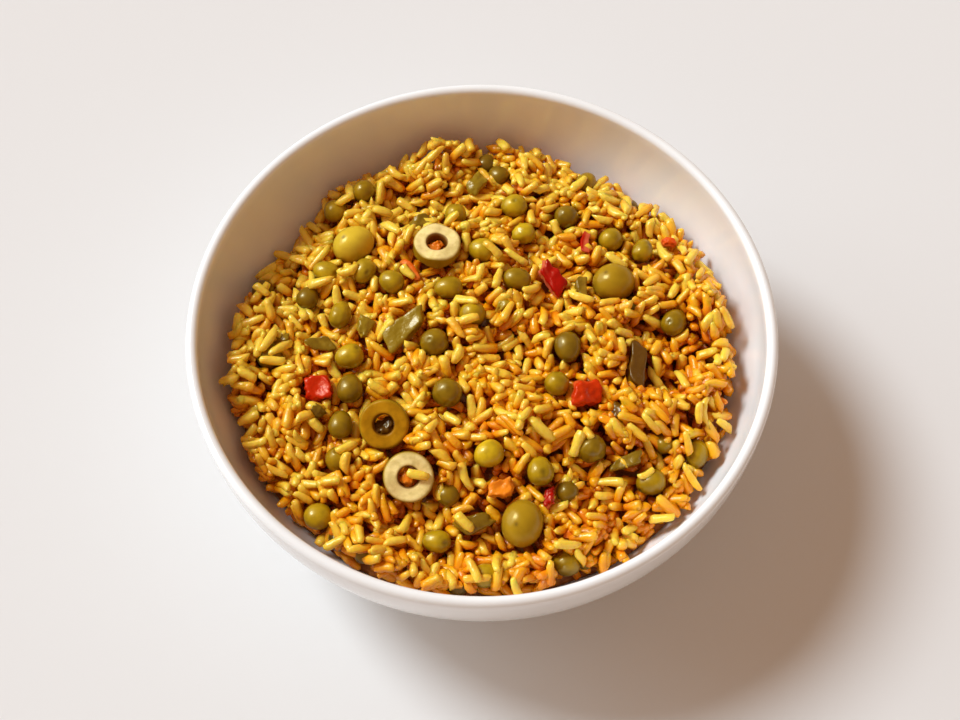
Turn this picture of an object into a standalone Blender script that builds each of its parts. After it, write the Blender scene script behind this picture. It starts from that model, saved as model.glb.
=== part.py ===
"""A white bowl of yellow rice with pigeon peas, green olives and diced peppers.

The frame: metres, Z up, origin on the table under the bowl's axis. The front of the bowl is
towards -Y. The sizes below are in millimetres, and MM turns them into metres.

The bowl is a turned profile. The rice is one solid: a gently domed mound whose top is folded
into ridges of a grain's length with hollows between them, and with a well under each topping.
The peas, the olives and the pieces of pepper are separate solids that sit in those wells.
"""
import math

import bmesh
import bpy
import numpy as np
from mathutils import Euler, Vector
from mathutils.geometry import delaunay_2d_cdt

MM = 0.001
SEED = 18

# The bowl: squarish curves (superellipses) inside and out, a rounded lip and a foot ring.
RIM_RADIUS = 90.0
BOWL_HEIGHT = 62.0
RIM_WALL = 3.6
CURVE_POWER = 2.4
INNER_FLOOR = 6.5
OUTER_FLOOR = 2.0
FOOT_OUTER = 36.0
FOOT_INNER = 30.0
FOOT_RECESS = 3.2
FOOT_ROUND = 0.8
BOWL_STEPS = 48
INNER_POINTS = 9
OUTER_POINTS = 7
LIP_RADIUS = RIM_WALL / 2
LIP_HEIGHT = BOWL_HEIGHT - LIP_RADIUS
INNER_RADIUS = RIM_RADIUS - RIM_WALL

# The mound of rice.
EDGE_HEIGHT = 36.0
CROWN = 14.0
MOUND_RADIUS = 82.0
MOUND_POWER = 2.4
WALL_GAP = 0.8
# Each clump, or each hollow where the height is negative: x, y, height, spread.
CLUMPS = (
    (-43, 66, 4.5, 11),
    (-17, 71, 3.0, 8),
    (16, 71, 3.5, 11),
    (62, 47, 3.0, 10),
    (73, 12, 3.5, 9),
    (71, -18, 2.0, 9),
    (-72, 10, 2.5, 9),
    (-64, -26, 2.0, 8),
    (-57, 46, -3.0, 8),
    (-30, 72, -3.0, 7),
    (11, -4, -2.5, 7),
    (-16, -55, -2.5, 6),
    (57, -6, -1.5, 7),
)
RIPPLES = 46
RIPPLE_HEIGHT = 1.1
RIPPLE_SPREAD = 6.5

# The relief of the rice: a crest for each grain that shows, and hollows between the crests.
CREST_LENGTH = 4.6
CREST_SPACING = 2.3
CREST_RISE = 1.1
CREST_TILT = 0.7
HOLLOW_SPACING = 2.4
HOLLOW_CLEARANCE = 1.3
HOLLOW_DROP = 1.5
WALL_CLEARANCE = 2.4
RIM_DROP = 0.75
SIDE_BAND = 0.06
THROWS = 20000

# The wells under the toppings.
WELL_GAP = 0.5
WELL_LIP_DROP = 0.5
WELL_SLOPE = 0.15
WELL_SIDES = 10
WELL_CLEARANCE = 0.9
STEEPEST_FLOOR = 0.8

# Each pea: x, y, length, width, heading in degrees, height of its centre over the mound.
PEAS = (
    (-70.5, 23.5, 7.5, 7, 0, 1.2),
    (-50, 27.5, 9, 7, -20, 1.5),
    (-44.5, 10.5, 9.5, 7, 75, 1.5),
    (-66.5, -2, 8.5, 8, 20, 1.2),
    (-41, -4.5, 9.5, 8, 15, 1.5),
    (-40.5, -15.5, 9.5, 8.5, 95, 1.8),
    (-43, -27, 9.5, 7.6, 85, 1.5),
    (-43.5, -37.5, 8.5, 8, 0, 0.8),
    (-37.5, 26.5, 9, 7.5, 65, 1.4),
    (-28.6, 21.4, 8.5, 7.6, -30, 1.8),
    (-10.5, 18.5, 9.5, 7.5, 5, 1.5),
    (-3, 9, 9, 8.5, 30, 1.5),
    (-8.5, 48, 7.5, 7.5, 0, 1.5),
    (0, 33.5, 9.5, 8, -10, 1.2),
    (10.5, 51, 9, 8, 10, 1.8),
    (11, 22, 9.5, 7.5, 0, 1.5),
    (13.5, 40, 8, 7, 20, 1.2),
    (27.5, 48, 8.5, 8, 0, 1.8),
    (34.5, 64, 8.5, 7, 60, 1.2),
    (41.8, 40, 8.5, 8, 40, 1.5),
    (52, 36, 8.5, 7, 70, 1.4),
    (60.5, 9, 9.5, 8, 60, 1.5),
    (73, -1.5, 7.5, 7, 0, 0.8),
    (65.5, -34, 9.5, 7.5, 85, 1.0),
    (51, -44, 9.5, 8, 10, 1.0),
    (26.5, -2.5, 10.5, 8.5, 95, 2.0),
    (23, -14.5, 8, 8, 0, 1.2),
    (-14.5, -1, 9.5, 9, 20, 1.8),
    (-10.5, -18, 9.5, 9, -30, 1.8),
    (2, -38, 9.5, 8.5, 25, 2.0),
    (17.5, -43, 9.5, 8.5, 100, 1.8),
    (33, -35, 9.5, 9, 30, 1.5),
    (-13.5, -63, 9, 7.2, -5, 1.2),
    (-49, -54.5, 9, 8.5, 0, 1.2),
    (1.5, -73, 9, 7.5, 0, 0.8),
    (25, -69, 9, 8, 10, 0.4),
    (-48, 53, 8.5, 7.5, 0, 0.8),
    (-39, 59, 8, 7.5, 60, 1.2),
)
FLATNESS = 0.92
PEA_SEGMENTS = 8
PEA_RINGS = 5

# Peas and bits of pepper that are mostly buried, part of the rice solid: x, y, width.
BURIED = (
    (5.5, 66, 6.5),
    (48, 55.5, 7.5),
    (1.5, 72, 7),
    (9, -29.5, 7),
    (66, 27.5, 7.5),
    (-55.5, 19, 7),
    (-35, -65, 7),
    (-10, -48.5, 7),
    (55.5, -31, 6),
    (60.5, 40.5, 6),
    (-51.5, -22.5, 6),
    (41.5, -22.5, 7),
)
BURIED_RISE = 1.8
BURIED_SHOULDER = 0.9
BURIED_REACH = 0.33
BURIED_SIDES = 6

# Each slice of olive: x, y, tilt about X, tilt about Y, height over the mound.
OLIVE_SLICES = (
    (-14.3, 33.7, -6, 3, 2.4),
    (-29.5, -28, 26, -4, 2.6),
    (-22, -45, 25, 6, 2.6),
)
SLICE_RADIUS = 7.6
SLICE_HOLE = 3.4
SLICE_THICKNESS = 4.4
SLICE_BULGE = 0.6
SLICE_BAND = 0.35
SLICE_WAIST = 0.3
SLICE_STEPS = 16

# Each whole olive: x, y, length, width, heading, height over the mound.
OLIVES = (
    (-41.5, 38, 14, 12, 35, 1.2),
    (41.8, 22.5, 13.6, 12.6, 15, 1.6),
    (12, -58.5, 14.5, 12.5, 80, 1.6),
)
OLIVE_SEGMENTS = 12
OLIVE_RINGS = 7
OLIVE_TAPER = 0.12

# Each piece of pepper: x, y, length, width, thickness, bend, tilt about X, tilt about Y,
# heading, height over the mound.
RED_PEPPER = (
    (-51, -14, 8.0, 7.0, 4.0, 20, 18, -6, 10, 1.6),
    (-22.7, 26.4, 8.0, 2.0, 2.4, 30, 10, 0, -50, 1.2),
    (22.3, 22.8, 9.5, 5.0, 3.6, 35, 16, 10, -50, 1.6),
    (32, -17.5, 7.2, 7.2, 4.6, 20, 15, 12, 0, 1.6),
    (33.4, 38.5, 7.5, 2.4, 2.6, 15, 0, 8, 85, 1.0),
    (5.2, -48.2, 6.8, 4.6, 3.2, 25, 14, -8, 12, 1.2),
)
GREEN_PEPPER = (
    (-24.5, 4.0, 13.0, 6.5, 2.6, 60, 10, -12, 38, 1.8),
    (-36.5, 5.5, 7.0, 4.2, 2.2, 20, 0, 20, 75, 1.2),
    (-50.5, 1.0, 7.5, 4.0, 2.4, 25, 24, 0, 5, 1.2),
    (31.4, 18.2, 7.5, 2.8, 3.0, 20, 0, 10, 88, 1.2),
    (48, -6.5, 13.0, 4.8, 2.8, 30, 0, 12, 84, 1.4),
    (43.5, -38.5, 9.0, 3.2, 2.6, 45, 8, 0, 18, 1.2),
    (-2.2, -58.2, 8.8, 5.0, 3.6, 30, 16, 4, 24, 1.2),
    (-1.5, 62, 7.0, 4.6, 2.6, 20, 8, 0, 60, 1.0),
)
PEPPER_CUTS = 2
PEPPER_UNEVENNESS = 0.09

CERAMIC = (0.86, 0.85, 0.83)
RICE = (0.80, 0.50, 0.08)
PEA = (0.26, 0.21, 0.05)
OLIVE_SKIN = (0.36, 0.30, 0.06)
OLIVE_FLESH = (0.62, 0.50, 0.19)
PEPPER_RED = (0.62, 0.05, 0.02)
PEPPER_GREEN = (0.20, 0.20, 0.05)

rng = np.random.default_rng(SEED)
ripples = np.column_stack((
    rng.uniform(-MOUND_RADIUS, MOUND_RADIUS, (RIPPLES, 2)),
    rng.uniform(-RIPPLE_HEIGHT, RIPPLE_HEIGHT, RIPPLES),
))


def clear_scene():
    """Removes every object that the new file holds."""
    for old in list(bpy.data.objects):
        bpy.data.objects.remove(old, do_unlink=True)


def finish(name, colour, roughness):
    """A plain material in one colour."""
    made = bpy.data.materials.new(name)
    made.use_nodes = True
    shader = made.node_tree.nodes["Principled BSDF"]
    shader.inputs["Base Color"].default_value = (*colour, 1.0)
    shader.inputs["Roughness"].default_value = roughness
    shader.inputs["Metallic"].default_value = 0.0
    return made


def add_part(name, bm, material, smooth=True):
    """Turns a bmesh into a named object of the parts collection."""
    mesh = bpy.data.meshes.new(name)
    bm.to_mesh(mesh)
    bm.free()
    if smooth:
        mesh.shade_smooth()
        mesh.set_sharp_from_angle(angle=math.radians(40))
    mesh.materials.append(material)
    part = bpy.data.objects.new(name, mesh)
    parts.objects.link(part)
    return part


def turn(part, steps):
    """Turns a profile in the XZ plane about the Z axis."""
    screw = part.modifiers.new("Turn", "SCREW")
    screw.axis = "Z"
    screw.angle = 2 * math.pi
    screw.steps = steps
    screw.render_steps = steps
    screw.use_merge_vertices = True
    screw.merge_threshold = 0.00002
    screw.use_smooth_shade = True
    return part


def bowl_curve(radius, depth, turned):
    """A point (radius, height) of a squarish curve that starts at the lip and runs down."""
    across = radius * max(math.cos(turned), 0.0) ** (2 / CURVE_POWER)
    down = depth * math.sin(turned) ** (2 / CURVE_POWER)
    return across, LIP_HEIGHT - down


def bowl_profile():
    """The bowl's section: up the inside from the axis, over the lip, down and under the foot."""
    depth = LIP_HEIGHT - INNER_FLOOR
    inside = [
        bowl_curve(INNER_RADIUS, depth, math.pi / 2 * (1 - step / INNER_POINTS))
        for step in range(INNER_POINTS + 1)
    ]
    lip = [
        (
            RIM_RADIUS - LIP_RADIUS - LIP_RADIUS * math.cos(angle),
            LIP_HEIGHT + LIP_RADIUS * math.sin(angle),
        )
        for angle in (math.pi / 4, math.pi / 2, 3 * math.pi / 4)
    ]
    foot_turn = math.acos((FOOT_OUTER / RIM_RADIUS) ** (CURVE_POWER / 2))
    outside = [
        bowl_curve(RIM_RADIUS, LIP_HEIGHT - OUTER_FLOOR, foot_turn * step / OUTER_POINTS)
        for step in range(OUTER_POINTS + 1)
    ]
    foot = [
        (FOOT_OUTER - FOOT_ROUND, 0.0),
        (FOOT_INNER + FOOT_ROUND, 0.0),
        (FOOT_INNER - FOOT_ROUND, FOOT_RECESS),
        (0.0, FOOT_RECESS),
    ]
    return inside + lip + outside + foot


def make_bowl():
    """The bowl, turned from its section."""
    bm = bmesh.new()
    points = [bm.verts.new((x * MM, 0.0, z * MM)) for x, z in bowl_profile()]
    for one, other in zip(points, points[1:]):
        bm.edges.new((one, other))
    return turn(add_part("bowl", bm, ceramic, smooth=False), BOWL_STEPS)


def mound(x, y):
    """Height of the mound, grains apart, at a place in millimetres."""
    reach = min(math.hypot(x, y) / MOUND_RADIUS, 1.0)
    height = EDGE_HEIGHT + CROWN * (1 - reach ** MOUND_POWER)
    for cx, cy, rise, spread in CLUMPS:
        height += rise * math.exp(-((x - cx) ** 2 + (y - cy) ** 2) / (2 * spread ** 2))
    away = (ripples[:, 0] - x) ** 2 + (ripples[:, 1] - y) ** 2
    height += float(np.sum(ripples[:, 2] * np.exp(-away / (2 * RIPPLE_SPREAD ** 2))))
    return height


def seat(part, x, y, lift, tilt_x=0.0, tilt_y=0.0, heading=0.0):
    """Sets a topping down at a place on the mound. The angles are in degrees."""
    part.location = (x * MM, y * MM, (mound(x, y) + lift) * MM)
    turned = Euler((0, 0, math.radians(heading))).to_matrix()
    tilted = Euler((math.radians(tilt_x), math.radians(tilt_y), 0)).to_matrix()
    part.rotation_euler = (tilted @ turned).to_euler()
    toppings.append(part)


def make_pea(name, x, y, length, width, heading, lift):
    """A pea: a slightly flattened, slightly long ball."""
    bm = bmesh.new()
    bmesh.ops.create_uvsphere(bm, u_segments=PEA_SEGMENTS, v_segments=PEA_RINGS, radius=0.5 * MM)
    bmesh.ops.scale(bm, vec=(length, width, width * FLATNESS), verts=bm.verts)
    seat(add_part(name, bm, pea), x, y, lift, heading=heading)


def make_olive(name, x, y, length, width, heading, lift):
    """A whole olive: an egg shape, narrower towards its +X end."""
    bm = bmesh.new()
    bmesh.ops.create_uvsphere(
        bm, u_segments=OLIVE_SEGMENTS, v_segments=OLIVE_RINGS, radius=0.5 * MM
    )
    bmesh.ops.rotate(bm, matrix=Euler((0, math.pi / 2, 0)).to_matrix(), verts=bm.verts)
    bmesh.ops.scale(bm, vec=(length, width, width * FLATNESS), verts=bm.verts)
    for vert in bm.verts:
        narrowing = 1 - OLIVE_TAPER * vert.co.x / (0.5 * length * MM)
        vert.co.y *= narrowing
        vert.co.z *= narrowing
    seat(add_part(name, bm, olive_skin), x, y, lift, heading=heading)


def make_olive_slice(name, x, y, tilt_x, tilt_y, lift):
    """A slice of a stoned olive: a thick ring with a rounded skin."""
    half = SLICE_THICKNESS / 2
    section = (
        (SLICE_RADIUS - SLICE_BULGE, half),
        (SLICE_RADIUS, half * SLICE_BAND),
        (SLICE_RADIUS, -half * SLICE_BAND),
        (SLICE_RADIUS - SLICE_BULGE, -half),
        (SLICE_HOLE, -half),
        (SLICE_HOLE - SLICE_WAIST, 0.0),
        (SLICE_HOLE, half),
    )
    bm = bmesh.new()
    points = [bm.verts.new((across * MM, 0.0, up * MM)) for across, up in section]
    for one, other in zip(points, points[1:] + points[:1]):
        bm.edges.new((one, other))
    part = turn(add_part(name, bm, olive_flesh, smooth=False), SLICE_STEPS)
    seat(part, x, y, lift, tilt_x, tilt_y)


def make_pepper(name, colour, piece):
    """A piece of diced pepper: a block with uneven corners, bent along its length."""
    x, y, length, width, thickness, bend, tilt_x, tilt_y, heading, lift = piece
    bm = bmesh.new()
    bmesh.ops.create_cube(bm, size=1.0)
    along = [edge for edge in bm.edges if abs(edge.verts[0].co.x - edge.verts[1].co.x) > 0.5]
    bmesh.ops.subdivide_edges(bm, edges=along, cuts=PEPPER_CUTS, use_grid_fill=True)
    curve = length / math.radians(bend)
    for vert in bm.verts:
        across, deep, up = vert.co
        uneven = 1 + rng.uniform(-PEPPER_UNEVENNESS, PEPPER_UNEVENNESS, 3)
        angle = across * length * uneven[0] / curve
        out = curve + up * thickness * uneven[2]
        vert.co = Vector((
            out * math.sin(angle) * MM,
            deep * width * uneven[1] * MM,
            (out * math.cos(angle) - curve) * MM,
        ))
    bmesh.ops.triangulate(bm, faces=bm.faces)
    seat(add_part(name, bm, colour, smooth=False), x, y, lift, tilt_x, tilt_y, heading)


def outline_round(points, sides, first, gap):
    """The corners of a polygon with a number of sides that stays a gap outside the points."""
    angles = [first + 2 * math.pi * side / sides for side in range(sides)]
    reaches = [max(x * math.cos(a) + y * math.sin(a) for x, y, z in points) + gap for a in angles]
    corners = []
    for side, angle in enumerate(angles):
        after = (side + 1) % sides
        turned = 2 * math.pi / sides
        slide = (reaches[after] - reaches[side] * math.cos(turned)) / math.sin(turned)
        corners.append((
            reaches[side] * math.cos(angle) - slide * math.sin(angle),
            reaches[side] * math.sin(angle) + slide * math.cos(angle),
        ))
    return corners


def well_under(topping, depsgraph):
    """The well that a topping sits in: its outline, and its floor as a plane a gap below."""
    shape = topping.evaluated_get(depsgraph)
    points = [shape.matrix_world @ vert.co / MM for vert in shape.to_mesh().vertices]
    shape.to_mesh_clear()
    up = topping.matrix_world.to_3x3().col[2].normalized()
    if up.z < STEEPEST_FLOOR:
        up = Vector((0, 0, 1))
    lowest = min(up.dot(point) for point in points) - WELL_GAP
    heading = topping.rotation_euler.z
    corners = outline_round(points, WELL_SIDES, heading, WELL_GAP)

    def floor(x, y):
        return (lowest - up.x * x - up.y * y) / up.z

    return corners, floor


def inside(corners, x, y, margin):
    """True if a place is inside the corners of a convex outline, or within a margin of it."""
    for one, other in zip(corners, corners[1:] + corners[:1]):
        dx = other[0] - one[0]
        dy = other[1] - one[1]
        beyond = ((x - one[0]) * dy - (y - one[1]) * dx) / math.hypot(dx, dy)
        if beyond > margin:
            return False
    return True


class Relief:
    """The top of the rice, collected as places with heights and as lines that must stay."""

    def __init__(self):
        self.places = []
        self.heights = []
        self.lines = []

    def add(self, x, y, height):
        """Adds one place and returns its number."""
        self.places.append(Vector((x, y)))
        self.heights.append(height)
        return len(self.places) - 1

    def add_loop(self, corners, height):
        """Adds a closed line through the corners, at the height that a function gives."""
        loop = [self.add(x, y, height(x, y)) for x, y in corners]
        self.lines.extend(zip(loop, loop[1:] + loop[:1]))
        return loop

    def surface(self):
        """The triangles between all the places, as (vertices, faces)."""
        found = delaunay_2d_cdt(self.places, self.lines, [], 1, 1e-5)
        vertices = []
        for place, sources in zip(found[0], found[3]):
            height = self.heights[sources[0]] if sources else mound(place.x, place.y)
            vertices.append((place.x, place.y, height))
        return vertices, found[2]


def rice_edge(angle):
    """Where the rice meets the bowl's wall: the turn of the wall's curve at that height."""
    x = MOUND_RADIUS * math.cos(angle)
    y = MOUND_RADIUS * math.sin(angle)
    height = mound(x, y) - RIM_DROP
    depth = LIP_HEIGHT - INNER_FLOOR - WALL_GAP
    return math.asin(((LIP_HEIGHT - height) / depth) ** (CURVE_POWER / 2))


def rice_wall(turned):
    """A point (radius, height) of the rice's side, a gap inside the bowl's wall."""
    depth = LIP_HEIGHT - INNER_FLOOR - WALL_GAP
    return bowl_curve(INNER_RADIUS - WALL_GAP, depth, turned)


def throw_crests(wells):
    """Short lines strewn over the mound at random, none near another, a well or the wall."""
    crests = []
    taken = np.empty((0, 2))
    for _ in range(THROWS):
        reach = (MOUND_RADIUS - WALL_CLEARANCE - CREST_LENGTH / 2) * math.sqrt(rng.random())
        around = rng.uniform(0, 2 * math.pi)
        heading = rng.uniform(0, math.pi)
        centre = np.array((reach * math.cos(around), reach * math.sin(around)))
        ahead = np.array((math.cos(heading), math.sin(heading))) * CREST_LENGTH / 2
        line = np.array([centre + ahead * step for step in (-1, -0.5, 0, 0.5, 1)])
        if len(taken):
            apart = np.linalg.norm(taken[:, None] - line[None], axis=2).min()
            if apart < CREST_SPACING:
                continue
        if any(inside(corners, x, y, WELL_CLEARANCE) for corners, floor in wells for x, y in line):
            continue
        taken = np.vstack((taken, line))
        crests.append((line[0], line[-1]))
    return crests, taken


def throw_hollows(wells, taken):
    """Places strewn between the crests."""
    hollows = np.empty((0, 2))
    for _ in range(THROWS):
        reach = (MOUND_RADIUS - WALL_CLEARANCE) * math.sqrt(rng.random())
        around = rng.uniform(0, 2 * math.pi)
        spot = np.array((reach * math.cos(around), reach * math.sin(around)))
        if np.linalg.norm(taken - spot, axis=1).min() < HOLLOW_CLEARANCE:
            continue
        if len(hollows) and np.linalg.norm(hollows - spot, axis=1).min() < HOLLOW_SPACING:
            continue
        if any(inside(corners, spot[0], spot[1], WELL_CLEARANCE) for corners, floor in wells):
            continue
        hollows = np.vstack((hollows, spot))
    return hollows


def rice_top(wells):
    """The relief of the mound's top, from its rim line to the crests, hollows and wells."""
    relief = Relief()
    rim = []
    for step in range(BOWL_STEPS):
        angle = 2 * math.pi * step / BOWL_STEPS
        across, height = rice_wall(rice_edge(angle))
        rim.append(relief.add(across * math.cos(angle), across * math.sin(angle), height))
    relief.lines.extend(zip(rim, rim[1:] + rim[:1]))
    for corners, floor in wells:
        relief.add_loop(corners, lambda x, y: mound(x, y) - WELL_LIP_DROP)
        middle = np.mean(corners, axis=0)
        shrink = 1 - WELL_SLOPE / np.linalg.norm(np.array(corners[0]) - middle)
        inner = [tuple(middle + (np.array(corner) - middle) * shrink) for corner in corners]
        relief.add_loop(inner, lambda x, y: min(floor(x, y), mound(x, y) - HOLLOW_DROP))
    mounds = []
    for x, y, width in BURIED:
        reach = width * BURIED_REACH
        turns = [2 * math.pi * side / BURIED_SIDES for side in range(BURIED_SIDES)]
        ring = [(x + reach * math.cos(turn), y + reach * math.sin(turn)) for turn in turns]
        relief.add_loop(ring, lambda u, v: mound(u, v) + BURIED_SHOULDER)
        relief.add(x, y, mound(x, y) + BURIED_RISE)
        mounds.append((ring, None))
    crests, taken = throw_crests(wells + mounds)
    for start, end in crests:
        tip = rng.uniform(-CREST_TILT, CREST_TILT)
        first = relief.add(start[0], start[1], mound(*start) + CREST_RISE + tip)
        last = relief.add(end[0], end[1], mound(*end) + CREST_RISE - tip)
        relief.lines.append((first, last))
    for x, y in throw_hollows(wells + mounds, taken):
        relief.add(x, y, mound(x, y) - HOLLOW_DROP)
    return relief.surface()


def make_rice():
    """The heap: its relief on top, and sides that follow the bowl's inside down to its floor."""
    bpy.context.view_layer.update()
    depsgraph = bpy.context.evaluated_depsgraph_get()
    wells = [well_under(topping, depsgraph) for topping in toppings]
    vertices, faces = rice_top(wells)
    bm = bmesh.new()
    top = [bm.verts.new(Vector(vertex) * MM) for vertex in vertices]
    for face in faces:
        bm.faces.new([top[number] for number in face])
    bmesh.ops.recalc_face_normals(bm, faces=bm.faces)
    rim = sorted(
        (vert for vert in bm.verts if vert.is_boundary),
        key=lambda vert: math.atan2(vert.co.y, vert.co.x) % (2 * math.pi),
    )
    lowest_edge = max(rice_edge(math.atan2(vert.co.y, vert.co.x)) for vert in rim)
    above = rim
    for step in range(1, INNER_POINTS):
        turned = math.pi / 2 * step / INNER_POINTS
        if turned < lowest_edge + SIDE_BAND:
            continue
        across, height = rice_wall(turned)
        ring = []
        for vert in rim:
            angle = math.atan2(vert.co.y, vert.co.x)
            place = (across * math.cos(angle), across * math.sin(angle), height)
            ring.append(bm.verts.new(Vector(place) * MM))
        for side in range(len(rim)):
            after = (side + 1) % len(rim)
            bm.faces.new((above[side], ring[side], ring[after], above[after]))
        above = ring
    bm.faces.new(list(reversed(above)))
    bmesh.ops.recalc_face_normals(bm, faces=bm.faces)
    bmesh.ops.triangulate(bm, faces=bm.faces)
    add_part("rice", bm, rice, smooth=False)


clear_scene()
parts = bpy.data.collections.new("bowl_of_rice")
bpy.context.scene.collection.children.link(parts)
toppings = []

ceramic = finish("white_glaze", CERAMIC, 0.2)
rice = finish("yellow_rice", RICE, 0.55)
pea = finish("pea_skin", PEA, 0.3)
olive_skin = finish("olive_skin", OLIVE_SKIN, 0.3)
olive_flesh = finish("olive_flesh", OLIVE_FLESH, 0.45)
pepper_red = finish("red_pepper", PEPPER_RED, 0.35)
pepper_green = finish("green_pepper", PEPPER_GREEN, 0.35)

make_bowl()
for number, spot in enumerate(PEAS, 1):
    make_pea(f"pea_{number:02d}", *spot)
for number, spot in enumerate(OLIVES, 1):
    make_olive(f"olive_{number}", *spot)
for number, spot in enumerate(OLIVE_SLICES, 1):
    make_olive_slice(f"olive_slice_{number}", *spot)
for number, spot in enumerate(RED_PEPPER, 1):
    make_pepper(f"red_pepper_{number}", pepper_red, spot)
for number, spot in enumerate(GREEN_PEPPER, 1):
    make_pepper(f"green_pepper_{number}", pepper_green, spot)
make_rice()
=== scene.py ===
# %% [markdown]
# # A bowl of yellow rice with pigeon peas
#
# The dish is a plain white bowl with a low mound of yellow rice in it. Pigeon peas, green
# olives and bits of cooked pepper lie in the rice and on it. The frame brings every piece as a
# plain solid, in metres, with the origin on the table under the bowl. This lesson keeps their
# places and sizes, and gives each of them the shape and finish of the real thing.

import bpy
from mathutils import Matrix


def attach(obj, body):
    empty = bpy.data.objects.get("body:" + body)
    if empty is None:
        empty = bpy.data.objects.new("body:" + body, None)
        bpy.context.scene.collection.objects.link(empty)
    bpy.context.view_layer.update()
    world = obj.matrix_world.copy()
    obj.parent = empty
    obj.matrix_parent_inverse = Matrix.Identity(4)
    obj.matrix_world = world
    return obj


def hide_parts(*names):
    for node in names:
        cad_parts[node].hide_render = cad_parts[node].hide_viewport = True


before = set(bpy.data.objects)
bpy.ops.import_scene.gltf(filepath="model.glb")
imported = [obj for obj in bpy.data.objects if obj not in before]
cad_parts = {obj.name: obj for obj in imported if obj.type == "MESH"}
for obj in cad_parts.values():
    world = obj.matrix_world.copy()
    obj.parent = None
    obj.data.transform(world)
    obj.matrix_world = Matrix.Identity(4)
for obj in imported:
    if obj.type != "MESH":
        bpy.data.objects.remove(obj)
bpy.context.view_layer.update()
print("the frame has", len(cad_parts), "nodes")

# %% [markdown]
# ## Helpers
#
# Every piece below is a mesh that belongs to the dish and has one material. What there is a
# lot of, such as grains and peas, is one mesh made of many copies, because Blender draws one
# large mesh much faster than thousands of small ones. These helpers keep the later cells down
# to what is special about each piece.

# %% Values and helpers for pieces
import math

import bmesh
import bpy
import numpy as np
from mathutils import Matrix, Vector
from mathutils.bvhtree import BVHTree

MM = 0.001
rng = np.random.default_rng(11)


def add_piece(name, mesh, material):
    """Links a mesh as a piece of the dish."""
    mesh.materials.append(material)
    piece = bpy.data.objects.new(name, mesh)
    bpy.context.scene.collection.objects.link(piece)
    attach(piece, "root")
    return piece


def mesh_of(name, bm):
    """Turns a bmesh into a smooth mesh."""
    mesh = bpy.data.meshes.new(name)
    bm.to_mesh(mesh)
    bm.free()
    mesh.shade_smooth()
    return mesh


def joined(name, shape, places, marks):
    """One mesh from many copies of a shape, each copy with its own vertex places and marks."""
    size = len(shape.vertices)
    corners = [list(face.vertices) for face in shape.polygons]
    faces = [
        [corner + copy * size for corner in face] for copy in range(len(places)) for face in corners
    ]
    mesh = bpy.data.meshes.new(name)
    mesh.from_pydata(places.reshape(-1, 3).tolist(), [], faces)
    for mark, values in marks.items():
        mesh.attributes.new(mark, "FLOAT", "POINT").data.foreach_set("value", values.ravel())
    mesh.shade_smooth()
    return mesh


print("helpers for pieces ready")

# %% [markdown]
# A finish is a Principled BSDF with a few nodes in front of it. Noise over the object's own
# coordinates gives stains and a fine bump, and an attribute of the mesh tells one copy, or one
# part of a copy, from another. So nothing has to be unwrapped or painted.

# %% Helpers for finishes
def new_finish(name, sockets):
    """A material whose shader has the given socket values."""
    finish = bpy.data.materials.new(name)
    finish.use_nodes = True
    for socket, value in sockets.items():
        finish.node_tree.nodes["Principled BSDF"].inputs[socket].default_value = value
    return finish


def add_node(finish, kind, links, **settings):
    """Adds a node. A link's value is another node's output, or a plain value."""
    node = finish.node_tree.nodes.new(kind)
    for name, value in settings.items():
        setattr(node, name, value)
    for socket, value in links.items():
        if isinstance(value, bpy.types.NodeSocket):
            finish.node_tree.links.new(value, node.inputs[socket])
        else:
            node.inputs[socket].default_value = value
    return node


def feed(finish, output, socket):
    """Links an output to one of the shader's sockets."""
    shader = finish.node_tree.nodes["Principled BSDF"]
    finish.node_tree.links.new(output, shader.inputs[socket])


def speckle(finish, scale, detail=2.0):
    """Noise over the object's own coordinates, as a factor."""
    place = add_node(finish, "ShaderNodeTexCoord", {})
    links = {"Vector": place.outputs["Object"], "Scale": scale, "Detail": detail}
    return add_node(finish, "ShaderNodeTexNoise", links).outputs[0]


def mark(finish, name):
    """An attribute of the mesh, as a factor."""
    return add_node(finish, "ShaderNodeAttribute", {}, attribute_name=name).outputs["Fac"]


def ramp(finish, factor, stops):
    """Colours along a factor."""
    made = add_node(finish, "ShaderNodeValToRGB", {0: factor})
    stretch = made.color_ramp.elements
    while len(stretch) < len(stops):
        stretch.new(0.5)
    for element, (place, colour) in zip(stretch, stops):
        element.position = place
        element.color = (*colour, 1)
    return made.outputs[0]


def blend(finish, factor, one, other, mode="MIX"):
    """Mixes two colours by a factor."""
    links = {0: factor, 6: one, 7: other}
    return add_node(finish, "ShaderNodeMix", links, data_type="RGBA", blend_type=mode).outputs[2]


def bump(finish, height, strength, depth):
    """Feeds a height to the shader's normal."""
    links = {"Height": height, "Strength": strength, "Distance": depth}
    feed(finish, add_node(finish, "ShaderNodeBump", links).outputs[0], "Normal")


print("helpers for finishes ready")

# %% [markdown]
# Nothing that grew is quite regular. A few sine waves in random directions make soft dents and
# wrinkles, and they take the same points to the same height each time the script is run.

# %% Helper for dents
def waves(points, scale, count):
    """A smooth random height for each point, about -1 to 1."""
    height = np.zeros(points.shape[:-1])
    for _ in range(count):
        heading = rng.normal(size=3)
        heading /= np.linalg.norm(heading)
        height += np.sin(points @ heading * scale + rng.uniform(0, 2 * math.pi))
    return height / math.sqrt(count)


print("helper for dents ready")

# %% [markdown]
# ## Camera, light and table
#
# The dish is seen from above at about 63 degrees. A wide key light comes from the left and a
# little from behind, so that each grain has a lit side and throws a small shadow. A weak, very
# wide light stands low on the same side, as a window does, and brightens the far wall of the
# bowl. A warm sky fills the shadows. The table is a plain pale floor.

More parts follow.
